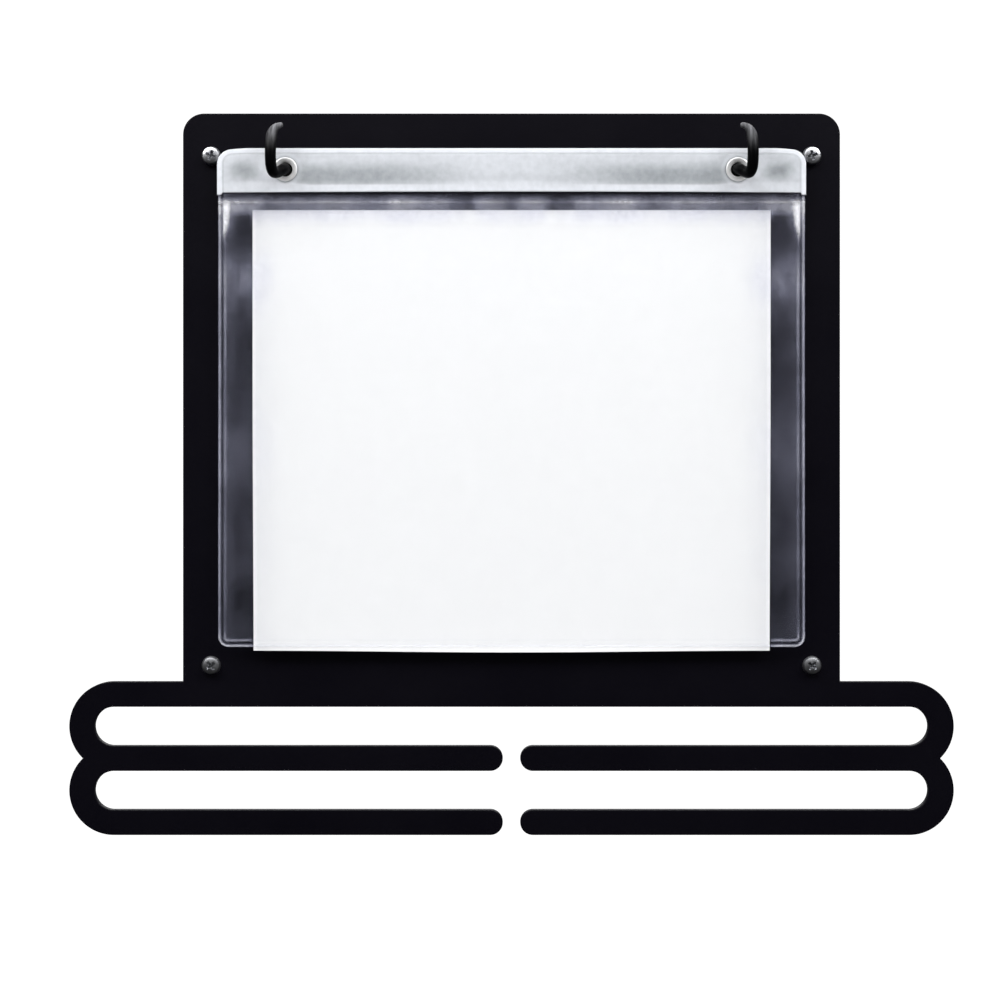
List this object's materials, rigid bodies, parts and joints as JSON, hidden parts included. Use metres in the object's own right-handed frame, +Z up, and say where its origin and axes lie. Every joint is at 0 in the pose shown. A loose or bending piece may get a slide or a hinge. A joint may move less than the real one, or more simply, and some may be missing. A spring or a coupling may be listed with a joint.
{
  "type": "race number and medal display",
  "caption": "Wall-mounted steel plate with hooks that carry a clear race number sleeve, above rows of open-ended bars that medal ribbons slip over.",
  "frame": {"origin": "on the wall's surface, at the middle of the four mounting screws", "axes": "+X to the right seen from the front, +Y into the wall, +Z up"},
  "size_m": [0.356, 0.0713, 0.2904],
  "materials": {
    "powder_coat": "satin black powder coat on flat steel",
    "bright_zinc": "bright zinc plate",
    "spacer_plastic": "moulded, matte black",
    "plug_plastic": "moulded, light grey",
    "hook_black": "semi-gloss black",
    "fixing_steel": "plain zinc-plated steel",
    "clear_vinyl": "clear flexible film, glossy",
    "header_vinyl": "silvery white thick vinyl, softly wrinkled",
    "eyelet_nickel": "bright nickel",
    "sheet_paper": "plain white spun-bonded sheet, blank"
  },
  "bodies": {
    "wall_unit": {"back_plate": "powder_coat", "screw_bottom_left": "bright_zinc", "screw_top_left": "bright_zinc", "screw_bottom_right": "bright_zinc", "screw_top_right": "bright_zinc", "spacer_bottom_left": "spacer_plastic", "spacer_top_left": "spacer_plastic", "spacer_bottom_right": "spacer_plastic", "spacer_top_right": "spacer_plastic", "wall_plug_bottom_left": "plug_plastic", "wall_plug_top_left": "plug_plastic", "wall_plug_bottom_right": "plug_plastic", "wall_plug_top_right": "plug_plastic", "hook_left": "hook_black", "hook_right": "hook_black", "hook_washer_left": "fixing_steel", "hook_washer_right": "fixing_steel", "hook_nut_left": "fixing_steel", "hook_nut_right": "fixing_steel"},
    "sleeve": {"sleeve_back_film": "clear_vinyl", "sleeve_front_film": "clear_vinyl", "sleeve_header": "header_vinyl", "eyelet_left": "eyelet_nickel", "eyelet_right": "eyelet_nickel", "eyelet_washer_left": "eyelet_nickel", "eyelet_washer_right": "eyelet_nickel"},
    "sheet": {"number_sheet": "sheet_paper"}
  },
  "joints": [
    {"name": "sleeve_swing", "type": "hinge", "parent": "wall_unit", "child": "sleeve", "pos_m": [0, -0.02603, 0.09615], "axis": [-1, 0, 0], "range_deg": [-0.7, 14]},
    {"name": "sheet_slide", "type": "slide", "parent": "sleeve", "child": "sheet", "axis": [0, 0, -1], "range_m": [0, 0.17]}
  ]
}
